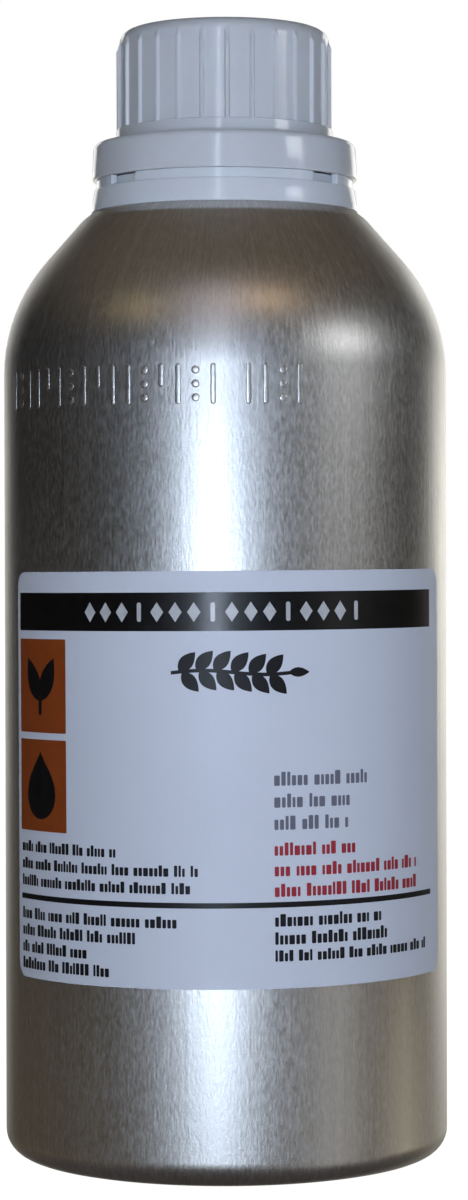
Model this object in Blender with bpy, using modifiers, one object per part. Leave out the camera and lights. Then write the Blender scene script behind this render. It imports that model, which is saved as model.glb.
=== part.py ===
"""Aluminium bottle for bulk essential oil, with a white screw cap, at its real size.

Metres, +Z up. The origin is the centre of the circle that the bottle stands on, and the label faces -Y.
The bottle is one drawn aluminium shell. A plastic cap screws on its neck over a sealing disc, a
tamper-evident ring stays below the cap, and a paper label is wrapped round the front.
"""

import math

import bmesh
import bpy
from mathutils import Matrix, Vector

MM = 0.001
SEGMENTS = 60
STEP = math.tau / SEGMENTS
SMOOTH_ANGLE = math.radians(32)
GAP = 0.3 * MM
EDGE = 0.3 * MM

# Aluminium bottle: body, foot and shoulder
BODY_RADIUS = 36.5 * MM
WALL = 0.5 * MM
FOOT_CORNER = 4.5 * MM
FOOT_WIDTH = 3.0 * MM
FOOT_BEVEL = (1.2 * MM, 0.5 * MM)
PUSH_UP = 2.6 * MM
BASE_WALL = 1.2 * MM
DOME_KNEE = (0.6, 0.62)
SHOULDER_Z = 128.3 * MM
SHOULDER_ARC = 28.0 * MM
SHOULDER_LEAN = math.radians(41.5)

# Neck: ledge, groove and bead for the ring, then the threaded neck and its rolled lip
LEDGE_Z = 155.1 * MM
LEDGE_RADIUS = 21.2 * MM
LEDGE_ROUND = 0.7 * MM
LEDGE_DROP = 0.4 * MM
LEDGE_WALL = 0.6 * MM
GROOVE_RADIUS = 18.6 * MM
GROOVE_WALL = 0.7 * MM
GROOVE_FILLET = 1.0 * MM
BEAD_RADIUS = 19.9 * MM
BEAD_Z = 158.2 * MM
BEAD_ROUND = 1.1 * MM
NECK_RADIUS = 14.7 * MM
NECK_WALL = 0.8 * MM
NECK_Z = 162.2 * MM
NECK_FILLET = 1.8 * MM
LIP_RADIUS = 1.2 * MM
LIP_TOP_Z = 181.2 * MM
LIP_LENGTH = 2.4 * MM
LIP_START = 215
LIP_END = -20

# Screw thread of neck and cap
PITCH = 3.6 * MM
THREAD_TURNS = 1.5
THREAD_Z = 171.4 * MM
THREAD_FLANK_GAP = 1.45 * MM
THREAD_SUNK = 0.35 * MM
NECK_THREAD_CREST = 15.6 * MM
CAP_THREAD_CREST = 15.05 * MM
THREAD_ROOT_HALF = 0.95 * MM
THREAD_CREST_HALF = 0.42 * MM
THREAD_RUN_OUT = math.radians(36)
THREAD_END_SHARE = 0.15

# Screw cap
CAP_TOP_Z = 185.2 * MM
CAP_CORNER = 2.6 * MM
DOME_RADIUS = 17.25 * MM
GRIP_RADIUS = 17.85 * MM
GRIP_TOP_Z = 182.5 * MM
GRIP_BOTTOM_Z = 168.7 * MM
FLUTES = 27
FLUTE_TURN = math.radians(5)
FLUTE_RADIUS = 3.7 * MM
FLUTE_DEPTH = 0.5 * MM
FLUTE_OVERRUN = 2.0 * MM
SKIRT_RADIUS = 21.8 * MM
SKIRT_WALL = 1.5 * MM
SKIRT_TOP_Z = 166.4 * MM
SKIRT_BOTTOM_Z = 160.4 * MM
SKIRT_ROUND = 0.6 * MM
SKIRT_ROOF = 1.6 * MM
GRIP_FOOT = 1.1 * MM
CAP_INNER_RADIUS = 16.3 * MM
CAP_INNER_TOP_Z = 183.4 * MM

# Sealing disc in the cap
DISC_RADIUS = 15.9 * MM
DISC_THICKNESS = 1.6 * MM

# Tamper-evident ring
RING_TOP_Z = 158.9 * MM
RING_WEB_OUTER = 21.1 * MM
RING_INNER_RADIUS = 20.4 * MM
RING_LIP_RADIUS = 19.35 * MM
RING_LIP_HEIGHT = 1.2 * MM
RING_LIP_SLOPE = 0.6 * MM
SLIT_ANGLES = (50.5, 129.5, 230.5, 309.5)
SLIT_SPAN = math.radians(16)
SLIT_BOTTOM_Z = 158.7 * MM
SLIT_CUTTER = (3.0 * MM, 2.4 * MM)

# Label
LABEL_WIDTH = 85.6 * MM
LABEL_HEIGHT = 64.9 * MM
LABEL_MIDDLE_Z = 63.7 * MM
LABEL_SHIFT = 1.15 * MM
LABEL_TILT = math.radians(0.3)
LABEL_CORNER = 2.5 * MM
LABEL_GAP = 0.2 * MM
LABEL_THICKNESS = 0.25 * MM
LABEL_STRIPS = 24


def clear_scene():
    for old in list(bpy.data.objects):
        bpy.data.objects.remove(old, do_unlink=True)


def new_collection(name):
    collection = bpy.data.collections.new(name)
    bpy.context.scene.collection.children.link(collection)
    return collection


def principled(name, colour, roughness, metallic=0.0):
    """A plain material with the colour and gloss of the real finish."""
    material = bpy.data.materials.new(name)
    material.use_nodes = True
    shader = material.node_tree.nodes["Principled BSDF"]
    shader.inputs["Base Color"].default_value = (*colour, 1.0)
    shader.inputs["Roughness"].default_value = roughness
    shader.inputs["Metallic"].default_value = metallic
    return material


def add_object(name, mesh, collection):
    obj = bpy.data.objects.new(name, mesh)
    collection.objects.link(obj)
    return obj


def arc(centre, radius, start, end, steps):
    """Points (radius, height) on an arc, with its angles in degrees from the outward direction."""
    angles = [math.radians(start + (end - start) * i / steps) for i in range(steps + 1)]
    return [(centre[0] + radius * math.cos(a), centre[1] + radius * math.sin(a)) for a in angles]


def turned(name, profile, collection, closed=False):
    """A body of revolution: the profile, which runs down its outer side, turned by a Screw modifier."""
    mesh = bpy.data.meshes.new(name)
    edges = [(i, i + 1) for i in range(len(profile) - 1)]
    if closed:
        edges.append((len(profile) - 1, 0))
    mesh.from_pydata([(r, 0.0, z) for r, z in profile], edges, [])
    obj = add_object(name, mesh, collection)
    screw = obj.modifiers.new("Turn", "SCREW")
    screw.axis = "Z"
    screw.steps = SEGMENTS
    screw.render_steps = SEGMENTS
    screw.use_merge_vertices = True
    screw.merge_threshold = 0.005 * MM
    return obj


def combine(obj, operand, operation):
    """Adds an exact Boolean with one object, or with every object of a collection."""
    boolean = obj.modifiers.new(operation.title(), "BOOLEAN")
    boolean.operation = operation
    boolean.solver = "EXACT"
    if isinstance(operand, bpy.types.Collection):
        boolean.operand_type = "COLLECTION"
        boolean.collection = operand
    else:
        boolean.object = operand


def apply_modifiers(obj):
    """Replaces the object's mesh by its evaluated one, shaded smooth between its sharp edges."""
    graph = bpy.context.evaluated_depsgraph_get()
    mesh = bpy.data.meshes.new_from_object(obj.evaluated_get(graph))
    obj.modifiers.clear()
    obj.data = mesh
    mesh.shade_smooth()
    mesh.set_sharp_from_angle(angle=SMOOTH_ANGLE)


def set_material(obj, material):
    obj.data.materials.clear()
    obj.data.materials.append(material)


def remove_helpers(collection):
    for helper in list(collection.objects):
        bpy.data.objects.remove(helper, do_unlink=True)


def hide_helper(obj):
    obj.hide_render = True
    obj.display_type = "WIRE"


def thread_ridge(name, root_radius, crest_radius, start_z, collection):
    """A helical ridge of trapezoid section that sinks into its wall at both ends.

    Its sections stand half a step from the corners of the wall's facets.
    """
    mesh = bpy.data.meshes.new(name)
    bm = bmesh.new()
    count = round(THREAD_TURNS * SEGMENTS)
    total = count * STEP
    sections = []
    for i in range(count + 1):
        turned_by = i * STEP
        angle = turned_by + STEP / 2
        shrink = min(1.0, turned_by / THREAD_RUN_OUT, (total - turned_by) / THREAD_RUN_OUT)
        height = THREAD_END_SHARE + (1 - THREAD_END_SHARE) * math.sin(shrink * math.pi / 2)
        crest = root_radius + (crest_radius - root_radius) * height
        middle = start_z + PITCH * turned_by / math.tau
        corners = (
            (root_radius, middle - THREAD_ROOT_HALF),
            (crest, middle - THREAD_CREST_HALF),
            (crest, middle + THREAD_CREST_HALF),
            (root_radius, middle + THREAD_ROOT_HALF),
        )
        sections.append([bm.verts.new((r * math.cos(angle), r * math.sin(angle), z)) for r, z in corners])
    for here, there in zip(sections, sections[1:]):
        for j in range(len(here)):
            k = (j + 1) % len(here)
            bm.faces.new((here[j], here[k], there[k], there[j]))
    bm.faces.new(sections[0])
    bm.faces.new(sections[-1])
    bmesh.ops.recalc_face_normals(bm, faces=bm.faces)
    bm.to_mesh(mesh)
    bm.free()
    ridge = add_object(name, mesh, collection)
    hide_helper(ridge)
    return ridge


def bottle_profile():
    """Inner side from the base's middle up to the lip, then the outer side down to the foot."""
    lean = math.degrees(SHOULDER_LEAN)
    foot_radius = BODY_RADIUS - FOOT_CORNER
    foot_inner = foot_radius - FOOT_WIDTH
    arc_centre = (BODY_RADIUS - SHOULDER_ARC, SHOULDER_Z)
    cone_end_z = LEDGE_Z - LEDGE_DROP
    arc_end_r = arc_centre[0] + SHOULDER_ARC * math.cos(SHOULDER_LEAN)
    arc_end_z = SHOULDER_Z + SHOULDER_ARC * math.sin(SHOULDER_LEAN)
    cone_end_r = arc_end_r - (cone_end_z - arc_end_z) * math.tan(SHOULDER_LEAN)
    bore = NECK_RADIUS - NECK_WALL
    lip_centre = (NECK_RADIUS - LIP_RADIUS, LIP_TOP_Z - LIP_RADIUS)
    knee_radius, knee_height = DOME_KNEE[0] * foot_inner, DOME_KNEE[1] * PUSH_UP

    inside = [(0.0, PUSH_UP + BASE_WALL), (knee_radius, knee_height + BASE_WALL)]
    inside += arc((foot_radius, FOOT_CORNER), FOOT_CORNER - WALL, -90, 0, 4)
    inside += arc(arc_centre, SHOULDER_ARC - WALL, 0, lean, 5)
    inside += [
        (cone_end_r - WALL * math.cos(SHOULDER_LEAN), cone_end_z - WALL * math.sin(SHOULDER_LEAN)),
        (GROOVE_RADIUS - GROOVE_WALL / 2, LEDGE_Z - LEDGE_WALL),
        (GROOVE_RADIUS - GROOVE_WALL, LEDGE_Z),
        (GROOVE_RADIUS - GROOVE_WALL, BEAD_Z),
        (bore + NECK_WALL, BEAD_Z + NECK_FILLET),
        (bore, NECK_Z),
        (bore, LIP_TOP_Z - LIP_LENGTH),
    ]
    lip = arc(lip_centre, LIP_RADIUS, LIP_START, LIP_END, 8)
    outside = [(NECK_RADIUS, LIP_TOP_Z - LIP_LENGTH)]
    outside += arc((NECK_RADIUS + NECK_FILLET, NECK_Z), NECK_FILLET, 180, 270, 3)
    outside += arc((BEAD_RADIUS - BEAD_ROUND, BEAD_Z), BEAD_ROUND, 70, -50, 4)
    outside += arc((GROOVE_RADIUS + GROOVE_FILLET, LEDGE_Z + GROOVE_FILLET), GROOVE_FILLET, 180, 270, 3)
    outside += [
        (LEDGE_RADIUS, LEDGE_Z),
        (LEDGE_RADIUS + LEDGE_ROUND, LEDGE_Z - LEDGE_DROP / 4),
        (cone_end_r, cone_end_z),
    ]
    outside += arc(arc_centre, SHOULDER_ARC, lean, 0, 7)
    outside += arc((foot_radius, FOOT_CORNER), FOOT_CORNER, 0, -90, 5)
    outside += [
        (foot_inner, 0.0),
        (foot_inner - FOOT_BEVEL[0], FOOT_BEVEL[1]),
        (knee_radius, knee_height),
        (0.0, PUSH_UP),
    ]
    return inside + lip + outside


def make_bottle(part, helpers, material):
    bottle = turned("bottle", bottle_profile(), part)
    root = NECK_RADIUS - THREAD_SUNK
    combine(bottle, thread_ridge("neck_thread", root, NECK_THREAD_CREST, THREAD_Z, helpers), "UNION")
    apply_modifiers(bottle)
    set_material(bottle, material)


def cap_profile():
    """Top disc, corner and grip, then the skirt's outer side, and back up the inner side to the axis."""
    outside = [(0.0, CAP_TOP_Z)]
    outside += arc((DOME_RADIUS - CAP_CORNER, CAP_TOP_Z - CAP_CORNER), CAP_CORNER, 90, 0, 6)
    outside += [
        (GRIP_RADIUS, GRIP_TOP_Z),
        (GRIP_RADIUS, SKIRT_TOP_Z + GRIP_FOOT),
        (GRIP_RADIUS + GRIP_FOOT / 3, SKIRT_TOP_Z + 2 * GRIP_FOOT / 3),
        (SKIRT_RADIUS - SKIRT_ROUND, SKIRT_TOP_Z),
        (SKIRT_RADIUS - SKIRT_ROUND / 6, SKIRT_TOP_Z - SKIRT_ROUND),
        (SKIRT_RADIUS, SKIRT_BOTTOM_Z + EDGE),
        (SKIRT_RADIUS - EDGE, SKIRT_BOTTOM_Z),
    ]
    skirt_inner = SKIRT_RADIUS - SKIRT_WALL
    inside = [
        (skirt_inner, SKIRT_BOTTOM_Z),
        (skirt_inner, SKIRT_TOP_Z - SKIRT_ROOF),
        (skirt_inner - SKIRT_ROUND, SKIRT_TOP_Z - SKIRT_ROOF + SKIRT_ROUND),
        (CAP_INNER_RADIUS + EDGE, SKIRT_TOP_Z - SKIRT_ROUND),
        (CAP_INNER_RADIUS, SKIRT_TOP_Z),
        (CAP_INNER_RADIUS, CAP_INNER_TOP_Z),
        (0.0, CAP_INNER_TOP_Z),
    ]
    return outside + inside


def flute_cutters(collection):
    """One upright cylinder for each hollow of the grip."""
    height = GRIP_TOP_Z + FLUTE_OVERRUN - GRIP_BOTTOM_Z
    distance = GRIP_RADIUS - FLUTE_DEPTH + FLUTE_RADIUS
    for i in range(FLUTES):
        mesh = bpy.data.meshes.new(f"flute_{i + 1:02d}")
        bm = bmesh.new()
        bmesh.ops.create_cone(
            bm, cap_ends=True, segments=20, radius1=FLUTE_RADIUS, radius2=FLUTE_RADIUS, depth=height
        )
        bm.to_mesh(mesh)
        bm.free()
        cutter = add_object(mesh.name, mesh, collection)
        angle = (i + 0.5) * math.tau / FLUTES + FLUTE_TURN
        cutter.location = (
            distance * math.cos(angle),
            distance * math.sin(angle),
            GRIP_BOTTOM_Z + height / 2,
        )
        cutter.rotation_euler.z = angle
        hide_helper(cutter)


def make_cap(part, helpers, flutes, material):
    cap = turned("cap", cap_profile(), part)
    flute_cutters(flutes)
    combine(cap, flutes, "DIFFERENCE")
    root = CAP_INNER_RADIUS + THREAD_SUNK
    start_z = THREAD_Z - THREAD_FLANK_GAP
    combine(cap, thread_ridge("cap_thread", root, CAP_THREAD_CREST, start_z, helpers), "UNION")
    apply_modifiers(cap)
    set_material(cap, material)


def make_sealing_disc(part, material):
    """The disc rests on the bottle's lip, and the cap presses it down."""
    bottom = LIP_TOP_Z + GAP
    top = bottom + DISC_THICKNESS
    profile = [
        (0.0, top),
        (DISC_RADIUS - EDGE, top),
        (DISC_RADIUS, top - EDGE),
        (DISC_RADIUS, bottom + EDGE),
        (DISC_RADIUS - EDGE, bottom),
        (0.0, bottom),
    ]
    disc = turned("sealing_disc", profile, part)
    apply_modifiers(disc)
    set_material(disc, material)


def ring_profile():
    """Outer wall, recessed web above it, then the inner wall with the lip that catches the bead."""
    bottom = LEDGE_Z + GAP
    web_top = SKIRT_BOTTOM_Z - GAP
    return [
        (RING_INNER_RADIUS, web_top),
        (RING_WEB_OUTER, web_top),
        (RING_WEB_OUTER, RING_TOP_Z),
        (SKIRT_RADIUS - EDGE, RING_TOP_Z),
        (SKIRT_RADIUS, RING_TOP_Z - EDGE),
        (SKIRT_RADIUS, bottom + EDGE),
        (SKIRT_RADIUS - EDGE, bottom),
        (RING_LIP_RADIUS + EDGE, bottom),
        (RING_LIP_RADIUS, bottom + EDGE),
        (RING_LIP_RADIUS, bottom + RING_LIP_HEIGHT),
        (RING_INNER_RADIUS, bottom + RING_LIP_HEIGHT + RING_LIP_SLOPE),
    ]


def slit_cutters(collection):
    """Short boxes that part the web above the ring into the bridges that hold it to the cap."""
    length, height = SLIT_CUTTER
    width = SLIT_SPAN * RING_WEB_OUTER
    distance = (RING_INNER_RADIUS + RING_WEB_OUTER) / 2
    for i, degrees in enumerate(SLIT_ANGLES):
        mesh = bpy.data.meshes.new(f"slit_{i + 1}")
        bm = bmesh.new()
        bmesh.ops.create_cube(bm, size=1.0)
        bmesh.ops.scale(bm, vec=Vector((length, width, height)), verts=bm.verts)
        bm.to_mesh(mesh)
        bm.free()
        cutter = add_object(mesh.name, mesh, collection)
        turn = Matrix.Rotation(math.radians(degrees - 90), 4, "Z")
        cutter.matrix_world = turn @ Matrix.Translation((distance, 0, SLIT_BOTTOM_Z + height / 2))
        hide_helper(cutter)


def make_tamper_ring(part, slits, material):
    ring = turned("tamper_ring", ring_profile(), part, closed=True)
    slit_cutters(slits)
    combine(ring, slits, "DIFFERENCE")
    apply_modifiers(ring)
    set_material(ring, material)


def rounded_rectangle(width, height, radius):
    """Corner points of the label's outline, with a quarter arc at each corner."""
    points = []
    for turn, (sx, sy) in enumerate(((1, 1), (-1, 1), (-1, -1), (1, -1))):
        centre = (sx * (width / 2 - radius), sy * (height / 2 - radius))
        points += arc(centre, radius, 90 * turn, 90 * turn + 90, 4)
    return points


def make_label(part, helpers, material):
    """A flat rounded sheet, cut into narrow strips and wrapped round the front of the body.

    It sits a little to the right and tilts a little, as a label put on by hand does.
    """
    inner = BODY_RADIUS + LABEL_GAP
    curve = bpy.data.curves.new("label_outline", "CURVE")
    curve.dimensions = "2D"
    curve.fill_mode = "BOTH"
    curve.extrude = LABEL_THICKNESS / 2
    spline = curve.splines.new("POLY")
    outline = rounded_rectangle(LABEL_WIDTH, LABEL_HEIGHT, LABEL_CORNER)
    spline.points.add(len(outline) - 1)
    for point, (x, y) in zip(spline.points, outline):
        point.co = (x, y, 0.0, 1.0)
    spline.use_cyclic_u = True
    flat = add_object("label_outline", curve, helpers)
    graph = bpy.context.evaluated_depsgraph_get()
    mesh = bpy.data.meshes.new_from_object(flat.evaluated_get(graph))
    mesh.name = "label"

    bm = bmesh.new()
    bm.from_mesh(mesh)
    bmesh.ops.remove_doubles(bm, verts=bm.verts, dist=0.001 * MM)
    bmesh.ops.recalc_face_normals(bm, faces=bm.faces)
    for i in range(1, LABEL_STRIPS):
        cut = LABEL_WIDTH * (i / LABEL_STRIPS - 0.5)
        everything = bm.verts[:] + bm.edges[:] + bm.faces[:]
        bmesh.ops.bisect_plane(bm, geom=everything, dist=0.001 * MM, plane_co=(cut, 0, 0), plane_no=(1, 0, 0))
    bmesh.ops.rotate(bm, matrix=Matrix.Rotation(LABEL_TILT, 3, "Z"), verts=bm.verts)
    for vert in bm.verts:
        angle = (LABEL_SHIFT + vert.co.x) / inner
        radius = inner + LABEL_THICKNESS / 2 + vert.co.z
        vert.co = (radius * math.sin(angle), -radius * math.cos(angle), LABEL_MIDDLE_Z + vert.co.y)
    bm.to_mesh(mesh)
    bm.free()
    label = add_object("label", mesh, part)
    apply_modifiers(label)
    set_material(label, material)


def main():
    clear_scene()
    part = new_collection("essential_oil_bottle")
    helpers = new_collection("helpers")
    flutes = new_collection("flute_cutters")
    slits = new_collection("slit_cutters")

    aluminium = principled("aluminium", (0.62, 0.61, 0.60), 0.32, metallic=1.0)
    white_plastic = principled("white_plastic", (0.78, 0.80, 0.84), 0.38)
    foam = principled("foam", (0.86, 0.86, 0.84), 0.8)
    paper = principled("paper", (0.74, 0.77, 0.86), 0.5)

    make_bottle(part, helpers, aluminium)
    make_cap(part, helpers, flutes, white_plastic)
    make_sealing_disc(part, foam)
    make_tamper_ring(part, slits, white_plastic)
    make_label(part, helpers, paper)
    for collection in (helpers, flutes, slits):
        remove_helpers(collection)
        bpy.data.collections.remove(collection)


main()
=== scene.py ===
# %% [markdown]
# # An aluminium bottle with a white screw cap
#
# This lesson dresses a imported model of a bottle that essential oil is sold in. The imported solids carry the
# sizes and the joints. Here each of them gets a finer visible piece and a real finish: brushed metal,
# moulded plastic, coated paper and ink. Every length of the bottle is written in millimetres and turned
# into metres where a mesh is made. Floor and lights are in metres.

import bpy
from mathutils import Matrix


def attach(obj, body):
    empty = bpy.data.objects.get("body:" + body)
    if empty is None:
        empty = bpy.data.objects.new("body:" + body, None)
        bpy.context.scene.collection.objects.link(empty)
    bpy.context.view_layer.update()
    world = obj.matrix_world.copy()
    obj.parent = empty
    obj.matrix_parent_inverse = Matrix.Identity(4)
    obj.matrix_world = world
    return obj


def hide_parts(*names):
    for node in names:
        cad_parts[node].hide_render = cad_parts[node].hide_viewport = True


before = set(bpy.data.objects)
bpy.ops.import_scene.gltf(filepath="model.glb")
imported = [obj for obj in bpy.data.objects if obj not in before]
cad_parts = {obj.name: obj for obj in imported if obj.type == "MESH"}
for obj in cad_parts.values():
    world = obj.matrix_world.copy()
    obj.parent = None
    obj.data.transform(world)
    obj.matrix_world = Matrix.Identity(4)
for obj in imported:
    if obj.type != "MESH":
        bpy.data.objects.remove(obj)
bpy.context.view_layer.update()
print("nodes:", ", ".join(sorted(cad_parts)))

# %% Tools and units
import math
import random

import bmesh
import bpy
from mathutils import Matrix, Vector

MM = 0.001
FRONT = -math.pi / 2
chance = random.Random(7)

# %% [markdown]
# ## The camera
#
# The photograph was taken from about half a metre away and at half the bottle's height, so the rims bow up
# above the lens and down below it. A long lens at that distance gives the same bows. The bottle also leans
# a little in the picture, which is a small roll of the camera and not a lean of the bottle.

# %% Camera
PHOTO_WIDTH = 468
PHOTO_HEIGHT = 1200
CAMERA_DISTANCE = 547 * MM
CAMERA_SIDE = 1.4 * MM
CAMERA_HEIGHT = 97.5 * MM
CAMERA_PITCH = math.radians(0.66)
CAMERA_ROLL = math.radians(0.14)
SENSOR_WIDTH = 36
LENS = 99

camera_data = bpy.data.cameras.new("camera")
camera_data.sensor_width = SENSOR_WIDTH
camera_data.lens = LENS
camera = bpy.data.objects.new("camera", camera_data)
bpy.context.scene.collection.objects.link(camera)
camera.rotation_mode = "QUATERNION"
level = Matrix.Rotation(math.pi / 2 - CAMERA_PITCH, 4, "X") @ Matrix.Rotation(-CAMERA_ROLL, 4, "Z")
camera.rotation_quaternion = level.to_quaternion()
camera.location = (CAMERA_SIDE, -CAMERA_DISTANCE, CAMERA_HEIGHT)
bpy.context.scene.camera = camera
print(f"picture {PHOTO_WIDTH} x {PHOTO_HEIGHT}, lens {LENS} mm")

# %% [markdown]
# ## A way to write turned shapes
#
# Bottle and ring are bodies of revolution, and so is the cap but for its grip. Each could be a stack of
# cylinders, but then every edge would be sharp. So a profile is written as a few corners, each with the
# radius that rounds it, and a helper puts an arc in place of each corner. A Screw modifier then turns the
# profile round the axis.

# %% Rounded profiles
TURN_STEPS = 192
SHARP_ANGLE = math.radians(38)


def round_corners(corners, steps=6):
    """Profile points in mm: each corner is (radius, height) or (radius, height, rounding)."""
    points = []
    for i, corner in enumerate(corners):
        here = Vector(corner[:2])
        rounding = corner[2] if len(corner) > 2 else 0.0
        if not rounding:
            points.append(here)
            continue
        before = (Vector(corners[i - 1][:2]) - here).normalized()
        after = (Vector(corners[(i + 1) % len(corners)][:2]) - here).normalized()
        half = before.angle(after) / 2
        reach = rounding / math.tan(half)
        centre = here + (before + after).normalized() * (rounding / math.sin(half))
        first, last = here + before * reach - centre, here + after * reach - centre
        sweep = first.angle_signed(last)
        for k in range(steps + 1):
            points.append(centre + Matrix.Rotation(-sweep * k / steps, 2) @ first)
    return points


def settle(piece, angle=SHARP_ANGLE):
    """Applies a piece's modifiers and shades it smooth between its sharp edges."""
    graph = bpy.context.evaluated_depsgraph_get()
    mesh = bpy.data.meshes.new_from_object(piece.evaluated_get(graph))
    mesh.name = piece.name
    piece.modifiers.clear()
    piece.data = mesh
    mesh.shade_smooth()
    mesh.set_sharp_from_angle(angle=angle)
    return piece


def add_piece(name, mesh):
    piece = bpy.data.objects.new(name, mesh)
    bpy.context.scene.collection.objects.link(piece)
    return piece


def piece_from(name, bm, angle=SHARP_ANGLE):
    """Makes a finished piece of the faces in bm."""
    bmesh.ops.recalc_face_normals(bm, faces=bm.faces)
    mesh = bpy.data.meshes.new(name)
    bm.to_mesh(mesh)
    bm.free()
    return settle(add_piece(name, mesh), angle)


def round_axis(radius, turn, z):
    """The point at a radius and a height in mm, and at an angle round the bottle's axis."""
    return (radius * MM * math.cos(turn), radius * MM * math.sin(turn), z * MM)


def skin(bm, sections):
    """Faces from each ring of points to the next one, and a face over each end."""
    count = len(sections[0])
    for here, there in zip(sections, sections[1:]):
        for k in range(count):
            after = (k + 1) % count
            bm.faces.new((here[k], here[after], there[after], there[k]))
    bm.faces.new(sections[0])
    bm.faces.new(sections[-1])


def turned(name, points, closed=False):
    """Turns a profile, which runs down the outer side, into a smooth body of revolution."""
    edges = [(i, i + 1) for i in range(len(points) - 1)]
    if closed:
        edges.append((len(points) - 1, 0))
    mesh = bpy.data.meshes.new(name)
    mesh.from_pydata([(r * MM, 0.0, z * MM) for r, z in points], edges, [])
    piece = add_piece(name, mesh)
    screw = piece.modifiers.new("Turn", "SCREW")
    screw.steps = TURN_STEPS
    screw.render_steps = TURN_STEPS
    screw.use_merge_vertices = True
    screw.merge_threshold = 0.002 * MM
    return settle(piece)


# %% [markdown]
# ## The bottle
#
# The real bottle is pressed from one slug of aluminium: a straight wall, a foot rounded to a narrow
# standing rim round a domed base, and a shoulder that is an arc running into a cone. The neck is rolled:
# a ledge, a bead for the tamper-evident ring, a threaded finish and a curled lip. One profile goes up the
# inside and down the outside, so the bottle is hollow and open, with a wall half a millimetre thick.

# %% Bottle shell
BODY_RADIUS = 36.5
WALL = 0.5
FOOT_ROUNDING = 4.2
STANDING_RIM = (27.4, 29.0)
BASE_DOME_Z = 2.6
BASE_WALL = 1.2
SHOULDER_CORNER_Z = 138.9
SHOULDER_ROUNDING = 28.0
LEDGE_EDGE = (22.25, 154.7)
SHOULDER_TOP = (23.6, 153.62)
LEDGE_Z = 155.1
GROOVE_RADIUS = 18.6
BEAD_RADIUS = 19.9
BEAD_Z = 158.2
NECK_RADIUS = 14.7
LIP_TOP_Z = 181.2
LIP_RADIUS = 1.2
LIP_STEPS = 16

bore = NECK_RADIUS - 0.8
bottle_inside = [
    (0.0, BASE_DOME_Z + BASE_WALL),
    (24.0, 2.4, 20.0),
    (BODY_RADIUS - WALL, 0.5, 4.0),
    (BODY_RADIUS - WALL, SHOULDER_CORNER_Z - 0.2, SHOULDER_ROUNDING - WALL),
    (LEDGE_EDGE[0] - 0.4, LEDGE_EDGE[1] - 0.55, 1.0),
    (GROOVE_RADIUS - 0.7, LEDGE_Z - 0.4, 0.6),
    (GROOVE_RADIUS - 0.9, BEAD_Z + 0.9, 0.8),
    (bore, BEAD_Z + 2.6, 1.0),
    (bore, LIP_TOP_Z - 2.6),
]
lip = []
for k in range(LIP_STEPS + 1):
    curl = math.radians(215 - 235 * k / LIP_STEPS)
    lip_r = NECK_RADIUS - LIP_RADIUS + 0.05 + LIP_RADIUS * math.cos(curl)
    lip.append((lip_r, LIP_TOP_Z - LIP_RADIUS + LIP_RADIUS * math.sin(curl)))
bottle_outside = [
    (NECK_RADIUS, LIP_TOP_Z - 2.4),
    (NECK_RADIUS, BEAD_Z + 2.6, 1.4),
    (BEAD_RADIUS, BEAD_Z + 1.1, 0.9),
    (BEAD_RADIUS, BEAD_Z - 0.9, 0.9),
    (GROOVE_RADIUS, BEAD_Z - 1.4, 0.4),
    (GROOVE_RADIUS, LEDGE_Z, 0.6),
    (LEDGE_EDGE[0] - 0.4, LEDGE_Z, 0.4),
    (*LEDGE_EDGE, 0.4),
    (*SHOULDER_TOP, 5.0),
    (BODY_RADIUS, SHOULDER_CORNER_Z, SHOULDER_ROUNDING),
    (BODY_RADIUS, 0.0, FOOT_ROUNDING),
    (STANDING_RIM[1], 0.0, 0.5),
    (STANDING_RIM[0], BASE_WALL, 1.0),
    (0.0, BASE_DOME_Z),
]
bottle_shell = turned("bottle_shell", round_corners(bottle_inside + lip + bottle_outside, steps=10))
print("bottle shell:", len(bottle_shell.data.polygons), "faces")

# %% [markdown]
# ## Threads
#
# A screw thread is a ridge that climbs as it goes round. The neck's is rolled, so its crest is round. It
# could be cut with a helix in a Boolean, but a loft is cleaner: the same small arch of points is placed
# every few degrees, a little higher each time, and shrinks into the wall at both ends.

# %% Neck thread
PITCH = 3.6
THREAD_TURNS = 1.5
THREAD_START_Z = 171.4
THREAD_HALF_WIDTH = 0.95
THREAD_SECTIONS = 128
NECK_THREAD_HEIGHT = 0.9
RUN_OUT = math.radians(36)


def thread_ridge(name, wall_radius, height, start_z, sunk=0.3, points=9):
    """A round-crested helical ridge on a wall; a negative height makes it point inwards."""
    root = -math.copysign(sunk, height)
    bm = bmesh.new()
    count = round(THREAD_TURNS * THREAD_SECTIONS)
    sections = []
    for i in range(count + 1):
        turn = THREAD_TURNS * math.tau * i / count
        shrink = min(1.0, turn / RUN_OUT, (THREAD_TURNS * math.tau - turn) / RUN_OUT)
        grown = math.sin(shrink * math.pi / 2)
        middle = start_z + PITCH * turn / math.tau
        ring = []
        for k in range(points):
            across = -1 + 2 * k / (points - 1)
            arch = math.cos(across * math.pi / 2) ** 0.8
            radius = wall_radius + root + (height - root) * arch * grown
            ring.append(bm.verts.new(round_axis(radius, turn, middle + across * THREAD_HALF_WIDTH)))
        sections.append(ring)
    skin(bm, sections)
    return piece_from(name, bm, math.radians(60))


neck_thread = thread_ridge("neck_thread", NECK_RADIUS, NECK_THREAD_HEIGHT, THREAD_START_Z)
print("neck thread rises", PITCH * THREAD_TURNS, "mm")

# %% [markdown]
# ## The struck row on the shoulder
#
# A row of marks is struck in the metal just under the shoulder. Marks could be a bump in the material, but
# real relief catches the light at its edges, also from the side. Each stroke here is a low rounded ridge,
# wrapped on the wall, and the row alternates plain bars and dots like the clock marks of a mould.

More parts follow.
